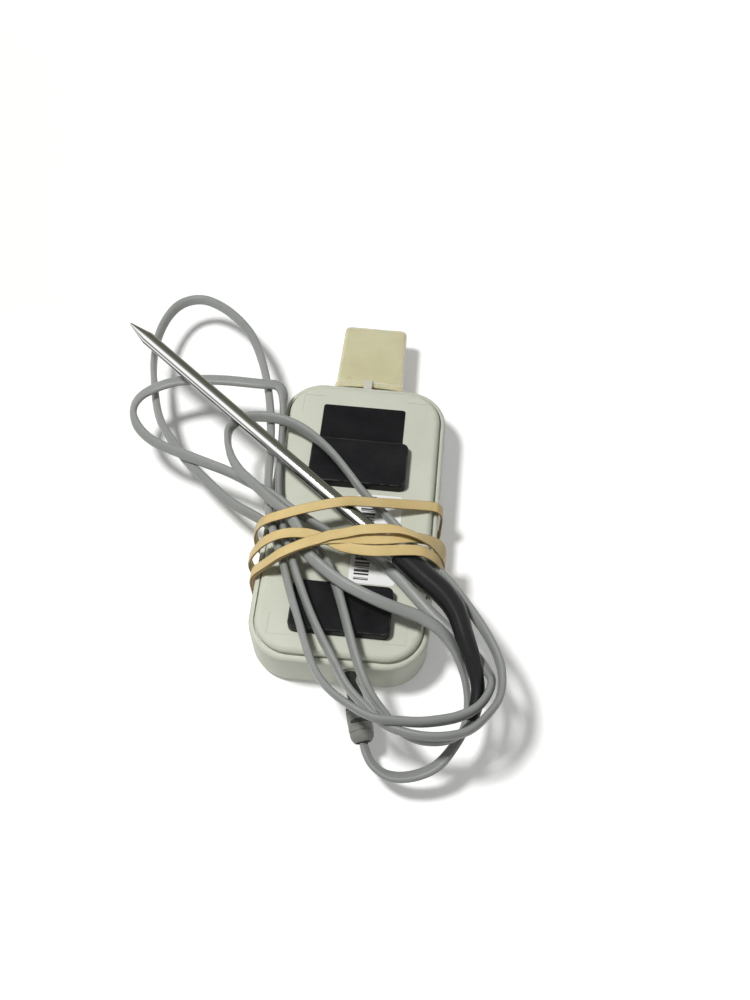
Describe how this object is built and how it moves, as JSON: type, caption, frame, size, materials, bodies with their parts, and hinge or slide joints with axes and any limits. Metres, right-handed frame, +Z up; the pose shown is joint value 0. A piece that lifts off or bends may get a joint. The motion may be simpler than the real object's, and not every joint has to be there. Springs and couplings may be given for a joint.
{
  "type": "water quality probe",
  "caption": "Flat interface box with capped connector, plugged-in loose lead and slim steel probe with soft boot, bundled by rubber bands.",
  "frame": {"origin": "centre of the box in plan, in the plane of the lowest faces of the rubber bands under it", "axes": "+Z up through the back lid, +Y along the box towards the capped connector, +X to the right seen from above"},
  "size_m": [0.1638, 0.2076, 0.0438],
  "materials": {
    "box_plastic": "fine-grained warm off-white moulded plastic",
    "black_plate": "smooth black plate with faint dust",
    "black_rubber": "black pad with a satin face",
    "white_paper": "white coated paper with black bars",
    "dark_panel": "smooth dark grey panel",
    "board_green": "green solder mask",
    "chip_black": "matte black moulding",
    "can_steel": "bright plated steel",
    "connector_black": "matte black moulding",
    "latch_white": "off-white moulding",
    "cap_cream": "yellowed translucent soft plastic",
    "socket_grey": "grey moulding",
    "neck_black": "flexible black moulding",
    "plug_grey": "grey overmoulding",
    "probe_steel": "polished stainless steel",
    "bead_brown": "brown epoxy bead",
    "sleeve_black": "soft black with a lengthwise sheen",
    "band_tan": "natural tan rubber",
    "cord_grey": "soft grey jacket with a satin sheen"
  },
  "bodies": {
    "box": {"amplifier_chip": "chip_black", "back_lid": "box_plastic", "band_front": "band_tan", "band_rear": "band_tan", "band_turn": "band_tan", "case_screw_1": "can_steel", "case_screw_2": "can_steel", "case_screw_3": "can_steel", "case_screw_4": "can_steel", "circuit_board": "board_green", "connector_insert": "connector_black", "connector_shell": "connector_black", "cord_1": "cord_grey", "cord_2": "cord_grey", "cord_3": "cord_grey", "cord_4": "cord_grey", "cord_5": "cord_grey", "cord_6": "cord_grey", "cord_7": "cord_grey", "cord_8": "cord_grey", "cord_9": "cord_grey", "cord_lead": "cord_grey", "crystal": "can_steel", "front_panel": "dark_panel", "jack_socket": "socket_grey", "label_plate": "black_plate", "latch_rib": "latch_white", "lower_pad": "black_rubber", "lower_shell": "box_plastic", "probe_sleeve": "sleeve_black", "probe_tube": "probe_steel", "processor_chip": "chip_black", "sensor_bead": "bead_brown", "sticker": "white_paper", "upper_pad": "black_rubber"},
    "cap": {"dust_cap": "cap_cream"},
    "plug": {"plug_pin": "can_steel", "plug_neck": "neck_black", "plug_body": "plug_grey"}
  },
  "joints": [
    {"name": "cap_slide", "type": "slide", "parent": "box", "child": "cap", "axis": [0, 1, 0], "range_m": [0, 0.031]},
    {"name": "plug_pull", "type": "slide", "parent": "box", "child": "plug", "axis": [0, -1, 0], "range_m": [0, 0.015], "deforming": ["cord_lead"]}
  ]
}
